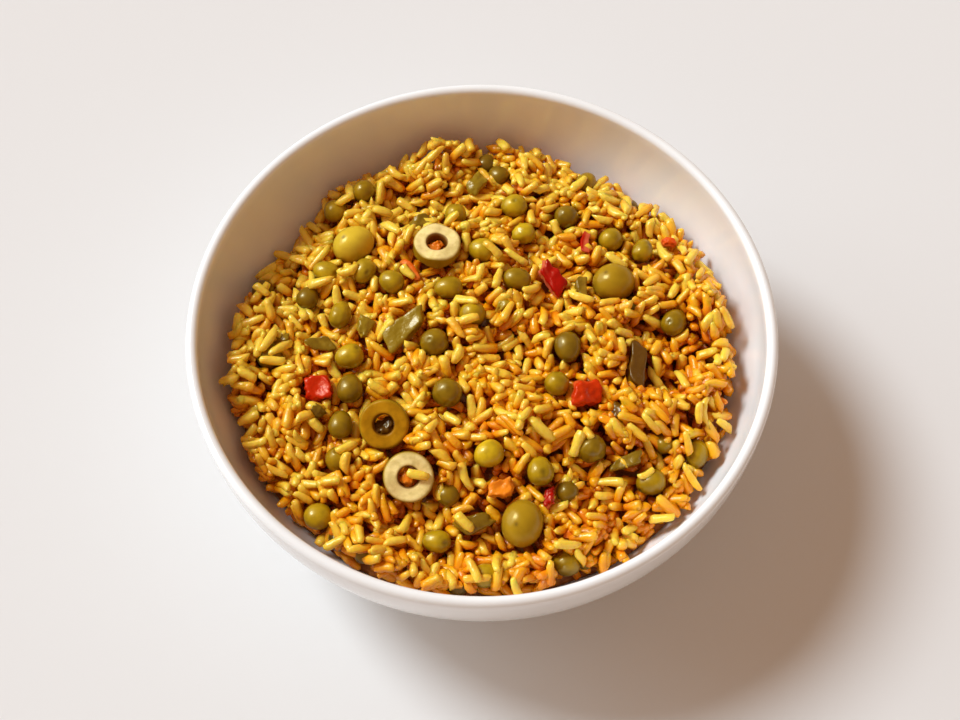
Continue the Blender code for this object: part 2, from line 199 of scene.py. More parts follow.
# %% Camera
EYE_LENS = 61.69
EYE_PLACE = (-0.588 * MM, -238.92 * MM, 500.78 * MM)
EYE_TILT = 27.28
eye = bpy.data.cameras.new("eye")
eye.lens = EYE_LENS
eye.sensor_width = 36.0
camera = bpy.data.objects.new("eye", eye)
camera.location = EYE_PLACE
camera.rotation_euler = (math.radians(EYE_TILT), 0, 0)
bpy.context.scene.collection.objects.link(camera)
bpy.context.scene.camera = camera
bpy.context.scene.view_settings.view_transform = "Standard"
print("camera", round(camera.location.length, 3), "m from the bowl")

# %% Light and table
SKY_COLOUR = (1.0, 0.63, 0.41, 1)
SKY_STRENGTH = 0.40
TABLE_COLOUR = (0.77, 0.77, 0.77, 1)
TABLE_REACH = 3.0


def add_light(name, heading, height, width, energy, colour):
    """A far light. It travels along a heading and comes down at a height, in degrees."""
    light = bpy.data.lights.new(name, "SUN")
    light.energy = energy
    light.color = colour
    light.angle = math.radians(width)
    lamp = bpy.data.objects.new(name, light)
    turn, down = math.radians(heading), math.radians(height)
    flat = math.cos(down)
    travel = Vector((flat * math.cos(turn), flat * math.sin(turn), -math.sin(down)))
    lamp.rotation_euler = travel.to_track_quat("-Z", "Y").to_euler()
    bpy.context.scene.collection.objects.link(lamp)


add_light("key", heading=-30, height=48, width=20, energy=2.6, colour=(0.87, 0.95, 1.0))
add_light("window", heading=-24, height=26, width=50, energy=1.25, colour=(0.74, 0.91, 1.0))

sky = bpy.data.worlds.new("sky")
sky.use_nodes = True
sky.node_tree.nodes["Background"].inputs["Color"].default_value = SKY_COLOUR
sky.node_tree.nodes["Background"].inputs["Strength"].default_value = SKY_STRENGTH
bpy.context.scene.world = sky

table_finish = new_finish("pale_table", {"Base Color": TABLE_COLOUR, "Roughness": 0.85})
bm = bmesh.new()
bmesh.ops.create_grid(bm, x_segments=1, y_segments=1, size=TABLE_REACH)
table = bpy.data.objects.new("table", mesh_of("table", bm))
table.data.materials.append(table_finish)
bpy.context.scene.collection.objects.link(table)
print("lights and table ready")

# %% [markdown]
# ## The bowl
#
# A bowl is thrown or pressed in the round, so its whole shape is one section turned about its
# axis. The sides are squarish curves, the lip is a half circle and the foot is a low ring.
# Spin turns the section, which keeps the wall's true thickness all the way round.

# %% Section of the bowl
RIM_RADIUS = 90 * MM
RIM_WALL = 3.6 * MM
LIP_RADIUS = RIM_WALL / 2
BOWL_HEIGHT = 62 * MM
LIP_HEIGHT = BOWL_HEIGHT - LIP_RADIUS
INNER_RADIUS = RIM_RADIUS - RIM_WALL
INNER_FLOOR = 6.5 * MM
OUTER_FLOOR = 2 * MM
INNER_DEPTH = LIP_HEIGHT - INNER_FLOOR
OUTER_DEPTH = LIP_HEIGHT - OUTER_FLOOR
CURVE_POWER = 2.4
FOOT_OUTER = 36 * MM
FOOT_INNER = 30 * MM
FOOT_ROUND = 0.9 * MM
FOOT_INSET = 1.5 * MM
FOOT_RECESS = 3.2 * MM
SIDE_POINTS = 44


def bowl_curve(radius, depth, turned):
    """A point of a squarish curve that starts at the lip and runs down."""
    across = radius * max(math.cos(turned), 0) ** (2 / CURVE_POWER)
    return across, LIP_HEIGHT - depth * math.sin(turned) ** (2 / CURVE_POWER)


def arc(across, up, radius, start, end, points):
    """Points of an arc in the section, between two angles in degrees."""
    turns = [math.radians(start + (end - start) * step / (points - 1)) for step in range(points)]
    return [(across + radius * math.cos(turn), up + radius * math.sin(turn)) for turn in turns]


foot_turn = math.acos((FOOT_OUTER / RIM_RADIUS) ** (CURVE_POWER / 2))
inner_turns = [math.pi / 2 * (1 - step / SIDE_POINTS) for step in range(SIDE_POINTS)]
outer_turns = [foot_turn * (step + 1) / SIDE_POINTS for step in range(SIDE_POINTS)]
section = [bowl_curve(INNER_RADIUS, INNER_DEPTH, turn) for turn in inner_turns]
section += arc(RIM_RADIUS - LIP_RADIUS, LIP_HEIGHT, LIP_RADIUS, 180, 0, 11)
section += [bowl_curve(RIM_RADIUS, OUTER_DEPTH, turn) for turn in outer_turns]
section += arc(FOOT_OUTER - FOOT_INSET, FOOT_ROUND, FOOT_ROUND, 0, -90, 5)
section += arc(FOOT_INNER + FOOT_INSET, FOOT_ROUND, FOOT_ROUND, -90, -180, 5)
section += [
    (FOOT_INNER - FOOT_ROUND, FOOT_RECESS - 0.4 * MM),
    (FOOT_INNER - 2 * MM, FOOT_RECESS),
    (0, FOOT_RECESS),
]
print("section has", len(section), "points")

# %% Turn the bowl
TURN_STEPS = 160
bm = bmesh.new()
points = [bm.verts.new((across, 0, up)) for across, up in section]
for one, other in zip(points, points[1:]):
    bm.edges.new((one, other))
bmesh.ops.spin(
    bm, geom=bm.verts[:] + bm.edges[:], cent=(0, 0, 0), axis=(0, 0, 1), angle=2 * math.pi,
    steps=TURN_STEPS, use_merge=True,
)
bmesh.ops.remove_doubles(bm, verts=bm.verts, dist=0.01 * MM)
bmesh.ops.recalc_face_normals(bm, faces=bm.faces)
print("bowl has", len(bm.faces), "faces")

# %% [markdown]
# The glaze is white and a little uneven in gloss. It is mixed a touch cool, because the sky's
# light is warm. On the foot's lowest edge the glaze is wiped off before firing, so a thin ring
# of bare clay shows there.

# %% Glaze
BARE_BELOW, GLAZED_ABOVE = 0.5 * MM, 0.8 * MM
glaze = new_finish("white_glaze", {
    "Roughness": 0.22, "Coat Weight": 0.35, "Coat Roughness": 0.08,
    "Subsurface Weight": 0.08, "Subsurface Radius": (1.0, 0.9, 0.8), "Subsurface Scale": 0.6 * MM,
})
place = add_node(glaze, "ShaderNodeTexCoord", {})
height = add_node(glaze, "ShaderNodeSeparateXYZ", {0: place.outputs["Object"]}).outputs["Z"]
bare = add_node(glaze, "ShaderNodeMapRange", {
    "Value": height, "From Min": BARE_BELOW, "From Max": GLAZED_ABOVE, "To Min": 1.0, "To Max": 0.0,
}).outputs[0]
white = ramp(glaze, speckle(glaze, 60), [(0.35, (0.91, 0.925, 0.93)), (0.65, (0.94, 0.955, 0.96))])
feed(glaze, blend(glaze, bare, white, (0.62, 0.55, 0.46, 1)), "Base Color")
gloss = add_node(glaze, "ShaderNodeMapRange", {
    "Value": speckle(glaze, 90), "To Min": 0.16, "To Max": 0.28,
})
feed(glaze, gloss.outputs[0], "Roughness")
bump(glaze, speckle(glaze, 45), 0.12, 0.4 * MM)
bowl = add_piece("white_bowl", mesh_of("white_bowl", bm), glaze)
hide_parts("bowl")
print("bowl glazed")

# %% [markdown]
# ## Where the mound is
#
# The rice solid of the frame says how high the rice stands at every place. Rays from above
# read its height on a fine grid, and a blur takes its ridges away and keeps the mound. The
# toppings' solids are read the same way, from above and from below, because grains may lie
# under a pea and against it but not inside it.

# %% Read the solids
GRID = 0.5 * MM
REACH = 88 * MM
ABOVE, BELOW = 0.1, -0.01
ticks = np.arange(-REACH, REACH + GRID / 2, GRID)
across, along = np.meshgrid(ticks, ticks, indexing="ij")
distance = np.hypot(across, along)
topping_names = [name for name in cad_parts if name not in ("bowl", "rice")]


def tree_of(names):
    """A tree for rays over the faces of some nodes."""
    corners = []
    faces = []
    for name in names:
        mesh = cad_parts[name].data
        faces += [[len(corners) + corner for corner in face.vertices] for face in mesh.polygons]
        corners += [vertex.co for vertex in mesh.vertices]
    return BVHTree.FromPolygons(corners, faces)


def read_heights(names, start, down):
    """The height at which a ray through each cell of the grid first meets the nodes."""
    tree = tree_of(names)
    found = np.full(across.shape, np.nan)
    for cell in np.argwhere(distance < REACH - 2 * MM):
        cell = tuple(cell)
        hit = tree.ray_cast(Vector((across[cell], along[cell], start)), Vector((0, 0, down)))[0]
        if hit is not None:
            found[cell] = hit.z
    return found


rice_height = read_heights(["rice"], ABOVE, -1)
topping_top = read_heights(topping_names, ABOVE, -1)
topping_bottom = read_heights(topping_names, BELOW, 1)
print("rice is read at", int(np.isfinite(rice_height).sum()), "cells")

# %% Smooth the mound
MOUND_BLURS = ((2.2 * MM, 1.0), (7 * MM, 0.002), (25 * MM, 0.00001))


def blur(values, spread):
    """A Gaussian blur of the grid."""
    reach = int(3.5 * spread / GRID)
    weights = np.exp(-0.5 * (np.arange(-reach, reach + 1) * GRID / spread) ** 2)
    weights /= weights.sum()
    for axis in (0, 1):
        values = np.apply_along_axis(np.convolve, axis, values, weights, mode="same")
    return values


def grow(cells, radius):
    """The cells within a radius of the given ones."""
    grown = cells.copy()
    reach = int(radius / GRID)
    for over in range(-reach, reach + 1):
        for up in range(-reach, reach + 1):
            if math.hypot(over, up) <= reach:
                grown |= np.roll(cells, (over, up), (0, 1))
    return grown


covered = np.isfinite(topping_top)
open_rice = np.isfinite(rice_height) & ~grow(covered, 1 * MM)
known = np.where(open_rice, rice_height, 0)
mound = np.zeros(across.shape)
weight = np.zeros(across.shape)
for spread, share in MOUND_BLURS:
    mound += share * blur(known, spread)
    weight += share * blur(open_rice.astype(float), spread)
mound /= np.maximum(weight, 1e-12)


def cell_of(x, y):
    """The cell of the grid that a place falls in."""
    return (
        np.clip(np.rint((x + REACH) / GRID).astype(int), 0, len(ticks) - 1),
        np.clip(np.rint((y + REACH) / GRID).astype(int), 0, len(ticks) - 1),
    )


def mound_at(x, y):
    """Height of the mound at a place in metres."""
    return float(mound[cell_of(np.array(x), np.array(y))])


print("mound is", round(mound_at(0, 0) / MM, 1), "mm high in the middle")

# %% [markdown]
# ## The core
#
# Nobody sees the inside of the heap, only what is just under the top grains. So the grains lie
# on a core: a disc that follows the mound a few millimetres below its top, and a side that
# follows the bowl's wall down to its floor. Its finish is painted shade, a dark orange-brown,
# so that it reads as more rice deep in the shaded gaps.

# %% Core
CORE_DEPTH = 6.5 * MM
CORE_GAP = 0.6 * MM
CORE_FLOOR = 8 * MM
CORE_START_REACH = 81 * MM
CORE_SIDE_STEPS = 6


def wall_radius(height):
    """Radius of the inside of the bowl at a height."""
    down = np.clip((LIP_HEIGHT - height) / INNER_DEPTH, 0, 1)
    return INNER_RADIUS * (1 - down ** CURVE_POWER) ** (1 / CURVE_POWER)


CORE_RINGS = 40
CORE_STEPS = 144
bm = bmesh.new()
points = [bm.verts.new((step / CORE_RINGS, 0, 0)) for step in range(CORE_RINGS + 1)]
for one, other in zip(points, points[1:]):
    bm.edges.new((one, other))
bmesh.ops.spin(
    bm, geom=bm.verts[:] + bm.edges[:], cent=(0, 0, 0), axis=(0, 0, 1), angle=2 * math.pi,
    steps=CORE_STEPS, use_merge=True,
)
bmesh.ops.remove_doubles(bm, verts=bm.verts, dist=0.0001)
for vertex in bm.verts:
    reach = CORE_START_REACH
    for _ in range(4):
        level = mound_at(vertex.co.x * reach, vertex.co.y * reach) - CORE_DEPTH
        reach = float(wall_radius(level)) - CORE_GAP
    x, y = vertex.co.x * reach, vertex.co.y * reach
    vertex.co = (x, y, mound_at(x, y) - CORE_DEPTH)
edge = [item for item in bm.edges if item.is_boundary]
for step in range(1, CORE_SIDE_STEPS + 1):
    made = bmesh.ops.extrude_edge_only(bm, edges=edge)["geom"]
    edge = [item for item in made if isinstance(item, bmesh.types.BMEdge) and item.is_boundary]
    for vertex in {vertex for item in edge for vertex in item.verts}:
        level = vertex.co.z + (CORE_FLOOR - vertex.co.z) * (step / CORE_SIDE_STEPS)
        reach = (float(wall_radius(level)) - CORE_GAP) / math.hypot(vertex.co.x, vertex.co.y)
        vertex.co = (vertex.co.x * reach, vertex.co.y * reach, level)
bmesh.ops.edgeloop_fill(bm, edges=edge)
bmesh.ops.recalc_face_normals(bm, faces=bm.faces)
print("core has", len(bm.faces), "faces")

# %% Core finish
core_finish = new_finish("rice_below", {"Roughness": 0.6})
# Painted shade: the core is a dark orange-brown, darker than the deepest grain.
painted_core_shade = ramp(core_finish, speckle(core_finish, 380, 3), [
    (0.35, (0.20, 0.042, 0.002)), (0.7, (0.44, 0.135, 0.006)),
])
feed(core_finish, painted_core_shade, "Base Color")
bump(core_finish, speckle(core_finish, 420, 3), 0.8, 1.5 * MM)
core = add_piece("rice_core", mesh_of("rice_core", bm), core_finish)
print("core is", round(max(vertex.co.z for vertex in core.data.vertices) / MM, 1), "mm high")

# %% [markdown]
# ## One grain
#
# A cooked grain of long rice is a little sausage, about 7.5 mm long and 3 mm thick, with blunt
# ends. A cylinder would need its ends capped and rounded, but a small ball is round already:
# pulled long and with its rings pushed out it has the blunt ends, and each copy gets its own
# length, width, taper and bend.

# %% Shape of a grain
BLUNTNESS = 0.3


def grain_shape(around, rings):
    """A ball with its poles on the X axis, one unit in radius and blunt at its ends."""
    bm = bmesh.new()
    bmesh.ops.create_uvsphere(bm, u_segments=around, v_segments=rings, radius=1)
    bmesh.ops.rotate(bm, matrix=Matrix.Rotation(math.pi / 2, 3, "Y"), verts=bm.verts)
    for vertex in bm.verts:
        radius = math.hypot(vertex.co.y, vertex.co.z)
        if radius > 0.01:
            vertex.co.yz = vertex.co.yz * radius ** (BLUNTNESS - 1)
    return mesh_of("grain", bm)


def thickness_along(place):
    """How thick a grain is along its length, from 0 at the tips to 1."""
    return np.clip(1 - place ** 2, 0, 1) ** (BLUNTNESS / 2)


whole_shape = grain_shape(8, 6)
plain_shape = grain_shape(7, 5)
print("a grain has", len(whole_shape.polygons), "faces")

# %% [markdown]
# ## Letting the grains down
#
# The grains are let down one at a time on a map of heights that starts as the core. A grain
# comes to rest on the two points under it that hold it up, one at each side of its middle, and
# the map rises to its back. Other grains are pressed in at a slant, as where a spoon turned
# the rice. A place takes no more grains once it stands as high as the mound. A physics
# simulation would also do, but it takes far longer and the heap wouldn't keep its shape.
#
# The height to fill up to is the mound with clumps and hollows, calmer near the toppings. A
# slowly changing direction, the flow, makes neighbouring grains lie much the same way.

# %% How high and which way
SURFACE_RISE = 1.1 * MM
UNEVENNESS = 2.1 * MM
HOLLOW_DEPTH = 1.3
NEAR_TOPPINGS = 0.3
TOPPING_DIP = 0.7 * MM
LUMP_GAIN = 1.0
LUMP_SPREAD = 15 * MM
COARSE_SPREAD = 5 * MM
FINE_SPREAD = 2 * MM
FLOW_SPREAD = 6 * MM
FLOW_TURN = 2.2
LUMPS_WITHIN = 78 * MM
RING_HOLE_REACH = 3.4 * MM

lumps = mound - blur(mound, LUMP_SPREAD)
coarse = blur(rng.normal(size=across.shape), COARSE_SPREAD)
fine = blur(rng.normal(size=across.shape), FINE_SPREAD)
uneven = np.clip(coarse / coarse.std() + 0.6 * fine / fine.std(), -2.6, 2.0)
uneven *= np.where(uneven < 0, HOLLOW_DEPTH, 1)
near = np.clip(blur(grow(covered, 1 * MM).astype(float), 2 * MM) * 1.5, 0, 1)
calm = 1 - (1 - NEAR_TOPPINGS) * near
target = mound + SURFACE_RISE + UNEVENNESS * uneven * calm - TOPPING_DIP * near
target += LUMP_GAIN * np.where(distance < LUMPS_WITHIN, lumps, 0)
flow = blur(rng.normal(size=across.shape), FLOW_SPREAD)
flow *= FLOW_TURN / flow.std()
level = mound - CORE_DEPTH
ring_names = [name for name in topping_names if "slice" in name]
ring_cover = grow(np.isfinite(read_heights(ring_names, ABOVE, -1)), RING_HOLE_REACH)
ring_cover = ~grow(~ring_cover, RING_HOLE_REACH)
blocked = grow(covered, 0.5 * MM) | ring_cover
print("the heap has", int((distance < 82 * MM).sum()), "cells")

# %% [markdown]
# The rules for one grain. A grain is tried at nine points along its length, because a test of
# its middle alone would let its ends sink into a neighbour. A share is a part of its width.

# %% How a grain comes to rest
REST_POINTS = np.linspace(-0.9, 0.9, 9)
FLATNESS = 0.86
GRAIN_SINK = 0.6 * MM
REST_SIDES = 0.3
REST_DROP = 0.08
TRIAL_SIZE = (7.4 * MM, 2.85 * MM)


def settle(x, y, heading, length, width):
    """Height and slope at which a grain let down at a place comes to rest."""
    ahead = REST_POINTS * length / 2
    px = x + ahead * math.cos(heading)
    py = y + ahead * math.sin(heading)
    sx = -math.sin(heading) * width * REST_SIDES
    sy = math.cos(heading) * width * REST_SIDES
    sides = np.maximum(level[cell_of(px + sx, py + sy)], level[cell_of(px - sx, py - sy)])
    under = np.maximum(level[cell_of(px, py)], sides - width * REST_DROP)
    under = under + thickness_along(REST_POINTS) * width * FLATNESS / 2
    back, front = under[:4, None], under[None, 5:]
    back_at, front_at = ahead[:4, None], ahead[None, 5:]
    middle = (back * front_at - front * back_at) / (front_at - back_at)
    pair = np.unravel_index(np.argmax(middle), middle.shape)
    slope = ((front - back) / (front_at - back_at))[pair]
    return max(middle[pair], under[4]) - GRAIN_SINK, slope


z, slope = settle(0, 0, 0, *TRIAL_SIZE)
print("a first grain in the middle rests at", round(z / MM, 1), "mm")

# %% Where a grain may lie
WALL_SHARE = 0.45
ROOF_SHARE = 0.4


def fits(x, y, z, heading, slope, length, width, where):
    """True if a grain stays inside the bowl, and under, beside or over the toppings as asked."""
    flat = length / 2 / math.hypot(1, slope)
    px = x + REST_POINTS * flat * math.cos(heading)
    py = y + REST_POINTS * flat * math.sin(heading)
    pz = z + REST_POINTS * flat * slope
    if np.any(np.hypot(px, py) + width * WALL_SHARE > wall_radius(pz)):
        return False
    cells = cell_of(px, py)
    if where == "under":
        roof = np.where(covered[cells], topping_bottom[cells], 1.0)
        return not np.any(pz + width * ROOF_SHARE > roof)
    return where == "over" or not np.any(blocked[cells])


print("it may lie there:", fits(0, 0, z, 0, slope, *TRIAL_SIZE, "under"))

# %% [markdown]
# A grain that stays raises the map, so that the next one comes to rest on it. The grains are
# kept in a list of plain numbers, and become meshes only when the heap is full.

# %% Keeping a grain
grains = []


def stamp(x, y, z, heading, slope, length, width):
    """Raises the map to the back of a grain."""
    flat = length / 2 / math.hypot(1, slope)
    i, j = cell_of(np.array(x), np.array(y))
    reach = int(length / 2 / GRID) + 2
    patch = (slice(max(i - reach, 0), i + reach + 1), slice(max(j - reach, 0), j + reach + 1))
    dx = across[patch] - x
    dy = along[patch] - y
    u = (dx * math.cos(heading) + dy * math.sin(heading)) / flat
    thick = thickness_along(u)
    v = (dy * math.cos(heading) - dx * math.sin(heading)) / (width / 2 * np.maximum(thick, 0.05))
    back = z + slope * u * flat + width * FLATNESS / 2 * thick * np.sqrt(np.clip(1 - v * v, 0, 1))
    here = (np.abs(u) < 1) & (np.abs(v) < 1)
    level[patch] = np.where(here, np.maximum(level[patch], back), level[patch])


def keep(kind, x, y, z, heading, slope, length, width):
    """Keeps a grain in the heap."""
    stamp(x, y, z, heading, slope, length, width)
    grains.append((kind, x, y, z, heading, math.atan(slope), length, width))


print("grains so far:", len(grains))

# %% Size and place of the next grain
GRAIN_LENGTH, LENGTHS = (7.4, 1.2), (4.8, 10.0)
GRAIN_WIDTH, WIDTHS = (2.85, 0.25), (2.3, 3.5)
WALL_GAP = 0.3 * MM


def grain_size():
    """Length and width of the next grain."""
    length = float(np.clip(rng.normal(*GRAIN_LENGTH), *LENGTHS)) * MM
    width = float(np.clip(rng.normal(*GRAIN_WIDTH), *WIDTHS)) * MM
    return length, width


def low_cells(limit, lack):
    """The cells of the heap that still lack a height under a limit."""
    return np.argwhere((limit - level > lack) & (distance < wall_radius(level) - WALL_GAP))


print("cells to fill:", len(low_cells(target, lack=1.0 * MM)))

# %% Grains under the surface
FIRST_TRIES = 3000
TRIES_A_ROUND = 300
STEEPEST = 1.0
UNDER_TOP = 2 * MM
UNDER_TOPPING = 0.2 * MM
OVERSHOOT = 0.8 * MM
deep = mound - UNDER_TOP
ceiling = np.where(covered, np.minimum(deep, topping_bottom - UNDER_TOPPING), deep)
for step in range(FIRST_TRIES):
    if step % TRIES_A_ROUND == 0:
        places = low_cells(ceiling, lack=1.5 * MM)
    i, j = places[rng.integers(len(places))]
    x, y = ticks[i], ticks[j]
    heading = rng.uniform(0, math.pi)
    length, width = grain_size()
    z, slope = settle(x, y, heading, length, width)
    if z + width / 2 > ceiling[i, j] + OVERSHOOT or abs(slope) > STEEPEST:
        continue
    if fits(x, y, z, heading, slope, length, width, "under"):
        keep("plain", x, y, z, heading, slope, length, width)
print("grains below:", len(grains))

# %% Grains on top
TOP_TRIES = 16000
TOP_SHARE = 0.42
FLOW_SCATTER = 0.45
SLANTED_SHARE = 0.24
TIP_SHARE = 0.2
SLANTS = (15, 56)
TIP_RISE = (-0.8, 0.9)
TIP_ROOM = 1.2 * MM
level = np.where(covered & ~grow(~covered, 1 * MM), topping_top, level)
for step in range(TOP_TRIES):
    if step % TRIES_A_ROUND == 0:
        places = low_cells(target, lack=1.0 * MM)
    i, j = places[rng.integers(len(places))]
    x, y = ticks[i], ticks[j]
    heading = flow[i, j] + rng.normal(0, FLOW_SCATTER) + math.pi * rng.integers(2)
    length, width = grain_size()
    if rng.random() < SLANTED_SHARE:
        slope = math.tan(math.radians(rng.uniform(*SLANTS)))
        flat = length / 2 / math.hypot(1, slope)
        ahead = flat * math.cos(heading), flat * math.sin(heading)
        tip = cell_of(np.array(x + ahead[0]), np.array(y + ahead[1]))
        top = target[tip] + rng.uniform(*TIP_RISE) * MM
        if top - level[tip] < TIP_ROOM:
            continue
        z = top - slope * flat - width * TIP_SHARE
    else:
        z, slope = settle(x, y, heading, length, width)
        if z + width * TOP_SHARE > target[i, j] or abs(slope) > STEEPEST:
            continue
    if fits(x, y, z, heading, slope, length, width, "beside"):
        keep("whole", x, y, z, heading, slope, length, width)
print("grains in all:", len(grains))

# %% Broken grains in the gaps
GAP_TRIES = 3000
STEEPEST_BROKEN = 1.6
BROKEN_LENGTHS = (4.2, 6.2)
BROKEN_WIDTHS = (2.4, 3.0)
for step in range(GAP_TRIES):
    if step % TRIES_A_ROUND == 0:
        places = low_cells(target, lack=2.6 * MM)
        if not len(places):
            break
    i, j = places[rng.integers(len(places))]
    x, y = ticks[i], ticks[j]
    heading = rng.uniform(0, math.pi)
    length = rng.uniform(*BROKEN_LENGTHS) * MM
    width = rng.uniform(*BROKEN_WIDTHS) * MM
    z, slope = settle(x, y, heading, length, width)
    if z + width * TOP_SHARE > target[i, j] or abs(slope) > STEEPEST_BROKEN:
        continue
    if fits(x, y, z, heading, slope, length, width, "beside"):
        keep("plain", x, y, z, heading, slope, length, width)
print("grains with the broken ones:", len(grains))

# %% [markdown]
# Some grains end up on the toppings. A few lie right across one, at listed places, and
# others lean on an edge, wherever the edge and the rice beside it can hold them.

# %% Grains over the toppings
CROSSING = (
    (-19.0, -45.5, -10), (49.4, -42.7, 29), (-51.4, 22.5, 6), (-42.5, 25.0, 14), (-4.0, 5.4, 12),
    (40.2, 14.0, 16), (28.6, -34.8, 66), (15.6, 17.6, 32), (-23.4, 24.4, -46), (-5.2, -58.9, -44),
)
LEANING = 36
TRIES_EACH = 30
LEANING_REACH = 0.9 * MM
LEANING_RISE = 1.2 * MM
STEEPEST_LEANING = 0.85
level = np.where(covered, np.fmax(level, topping_top), level)
cover = np.maximum(blur(covered.astype(float), 2 * MM), 1e-9)
near_top = blur(np.where(covered, topping_top, 0), 2 * MM) / cover
level = np.where(ring_cover & ~covered, near_top, level)
first_crossing = len(grains)
for x, y, turn in CROSSING:
    length, width = grain_size()
    heading = math.radians(turn)
    z, slope = settle(x * MM, y * MM, heading, length, width)
    keep("whole", x * MM, y * MM, z, heading, slope, length, width)
edges = np.argwhere(covered & ~ring_cover & grow(~covered, LEANING_REACH))
lean = 0
for _ in range(LEANING * TRIES_EACH):
    i, j = edges[rng.integers(len(edges))]
    x, y = ticks[i], ticks[j]
    heading = rng.uniform(0, 2 * math.pi)
    length, width = grain_size()
    z, slope = settle(x, y, heading, length, width)
    if z > target[i, j] + LEANING_RISE or abs(slope) > STEEPEST_LEANING or lean == LEANING:
        continue
    if fits(x, y, z, heading, slope, length, width, "over"):
        keep("whole", x, y, z, heading, slope, length, width)
        lean += 1
print("grains over toppings:", len(CROSSING) + lean)

# %% [markdown]
# A few thin pieces of pepper would be lost between the grains beside them. The grains that
# lean on those pieces are pushed down, as a spoon does when it serves the rice.

# %% Toppings kept clear
KEPT_CLEAR = ("red_pepper_2", "red_pepper_5", "green_pepper_2", "green_pepper_3", "green_pepper_6")
CLEAR_REACH = 1.2 * MM
PUSHED_DOWN = 2.4 * MM
clear = grow(np.isfinite(read_heights(KEPT_CLEAR, ABOVE, -1)), CLEAR_REACH)
crossing = range(first_crossing, first_crossing + len(CROSSING))
pushed = 0
for index, (kind, x, y, z, heading, pitch, length, width) in enumerate(grains):
    ahead = REST_POINTS * length / 2 * math.cos(pitch)
    cells = cell_of(x + ahead * math.cos(heading), y + ahead * math.sin(heading))
    if kind == "whole" and index not in crossing and np.any(clear[cells]):
        grains[index] = (kind, x, y, z - PUSHED_DOWN, heading, pitch, length, width)
        pushed += 1
print("grains pushed down:", pushed)

# %% [markdown]
# ## Meshes for the grains
#
# The grains on top become one mesh, those below and the broken ones another. Each is the same
# ball, stretched, tapered, bent and turned by its own numbers, which numpy does for all of them
# at once. The ends are cut at a slant and the sides have small dents. Each grain has its own
# tone, and over it lies painted shade: the deeper a part of a grain lies, the darker and more
# orange it is painted, and the heap is painted a little darker towards its right side and its
# front and lighter towards its back.

# %% Lay the grains out
DENTS = 0.10
TAPER = 0.24
SAG = 0.075
END_CUT = 0.8
TONE = 0.84
TONE_SPREAD = 0.07
# Painted shade: how much lower the tone is per mm of depth, towards the right side and towards the
# front; the lowest tones bound it, higher near the wall.
PAINTED_DEPTH_SHADE = 0.16
PAINTED_RIGHT_SHADE = 0.16
PAINTED_FRONT_SHADE = 0.16
LOWEST_TONE = 0.15
LOWEST_AT_WALL = 0.45
NEAR_WALL = (68, 76)
ROOF_RISE = 1.5 * MM
SQUARENESS = 0.08
roof = np.minimum(target, blur(level, 1 * MM) + ROOF_RISE)


def lay_out(name, shape, kind):
    """The mesh of all grains of a kind."""
    facts = np.array([grain[1:] for grain in grains if grain[0] == kind])
    x, y, z, heading, pitch, length, width = facts.T[:, :, None]
    count = len(facts)
    ball = np.array([vertex.co for vertex in shape.vertices])
    ball[:, 1:] *= 1 + SQUARENESS * np.cos(4 * np.arctan2(ball[:, 2:], ball[:, 1:2]))
    u = ball[None, :, 0]
    spin = rng.uniform(0, math.pi, (count, 1))
    taper = 1 - rng.uniform(-TAPER, TAPER, (count, 1)) * u
    swell = taper * (1 + rng.normal(0, DENTS, (count, len(ball))))
    roll = rng.uniform(0, 2 * math.pi, (count, 1))
    sag = rng.normal(0, SAG, (count, 1)) * length * (u ** 2 - 0.4)
    v, w = ball[None, :, 1], ball[None, :, 2]
    side = (v * np.cos(spin) - w * np.sin(spin)) * width / 2 * swell
    up = (v * np.sin(spin) + w * np.cos(spin)) * width / 2 * FLATNESS * swell
    cut = np.where(u > 0, rng.normal(0, END_CUT, (count, 1)), rng.normal(0, END_CUT, (count, 1)))
    px = u * length / 2 + cut * np.abs(u) ** 3 * (side * np.cos(roll) + up * np.sin(roll))
    side = side + sag * np.cos(roll)
    up = up + sag * np.sin(roll) * 0.5
    forward = px * np.cos(pitch) - up * np.sin(pitch)
    lifted = px * np.sin(pitch) + up * np.cos(pitch)
    places = np.stack((
        x + forward * np.cos(heading) - side * np.sin(heading),
        y + forward * np.sin(heading) + side * np.cos(heading),
        z + lifted,
    ), axis=-1)
    depth = (roof[cell_of(x, y)] - places[:, :, 2]) / MM
    # Painted shade: the deeper a vertex lies under the roof, the lower, darker and more orange its
    # tone.
    tone = rng.normal(TONE, TONE_SPREAD, (count, 1)) - PAINTED_DEPTH_SHADE * depth
    # Painted light and shade across the heap: lighter towards the back and left, darker towards the
    # front and right.
    tone += (PAINTED_FRONT_SHADE * y - PAINTED_RIGHT_SHADE * x) / RIM_RADIUS
    lowest = np.interp(np.hypot(x, y) / MM, NEAR_WALL, (LOWEST_TONE, LOWEST_AT_WALL))
    tone = np.clip(tone, lowest, 1)
    return joined(name, shape, places, {"tone": tone})


print("whole grains:", sum(grain[0] == "whole" for grain in grains))

# %% [markdown]
# Cooked rice is wet with coloured oil. It shines a little and lets some light in, and its
# colour runs from deep orange in the low places to pale gold on the backs of the grains; the
# deep orange in the low places is painted shade. One colour for all would look like plastic, so
# it follows each grain's tone, with a stain and a very fine bump over it.

# %% Rice
rice_finish = new_finish("cooked_rice", {
    "Roughness": 0.24, "Subsurface Weight": 0.4, "Subsurface Radius": (1.0, 0.4, 0.04),
    "Subsurface Scale": 1.3 * MM, "Specular IOR Level": 0.5, "Specular Tint": (1.0, 0.92, 0.7, 1),
    "Coat Weight": 0.2, "Coat Roughness": 0.1,
})
